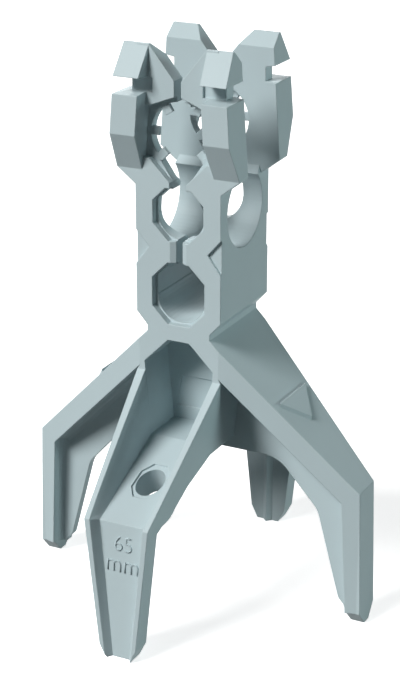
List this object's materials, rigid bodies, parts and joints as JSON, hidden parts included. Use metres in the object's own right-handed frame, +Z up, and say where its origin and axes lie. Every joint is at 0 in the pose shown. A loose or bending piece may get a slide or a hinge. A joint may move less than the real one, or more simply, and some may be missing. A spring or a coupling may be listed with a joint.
{
  "type": "rebar chair",
  "caption": "Moulded plastic rebar chair: a short slotted tower with snap seats for crossing bars, standing on spread legs.",
  "frame": {"origin": "centre of the four feet on the ground", "axes": "+Z up, +X to the right along the front face of the tower, +Y away from the viewer along the lower seats"},
  "size_m": [0.064, 0.0632, 0.0997],
  "materials": {
    "plastic": "even grey blue moulded plastic with a soft satin surface"
  },
  "bodies": {
    "root": {"rebar_chair": "plastic"}
  },
  "joints": []
}
